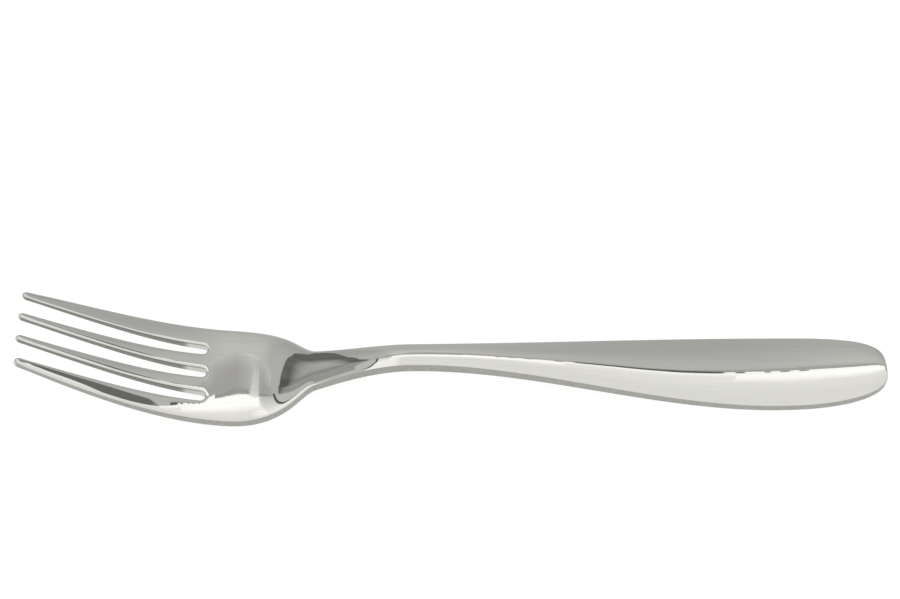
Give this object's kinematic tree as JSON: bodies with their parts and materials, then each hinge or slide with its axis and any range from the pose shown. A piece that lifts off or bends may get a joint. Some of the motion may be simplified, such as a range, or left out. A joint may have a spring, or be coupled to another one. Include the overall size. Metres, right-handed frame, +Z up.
{
  "type": "dinner fork",
  "caption": "Polished steel dinner fork with tapered tines, a dished palm, an arched slender neck and a long flared handle with a rounded end.",
  "frame": {"origin": "on the table under the middle of the fork, half way along its length and half way across it", "axes": "+Z up from the table with the fork lying face up, +X along the handle away from the tines, +Y to the fork's left when looking along +X"},
  "size_m": [0.2, 0.027, 0.0212],
  "materials": {
    "steel": "mirror-polished stainless steel"
  },
  "bodies": {
    "root": {"handle": "steel", "neck": "steel", "palm": "steel", "tine_1": "steel", "tine_2": "steel", "tine_3": "steel", "tine_4": "steel"}
  },
  "joints": []
}
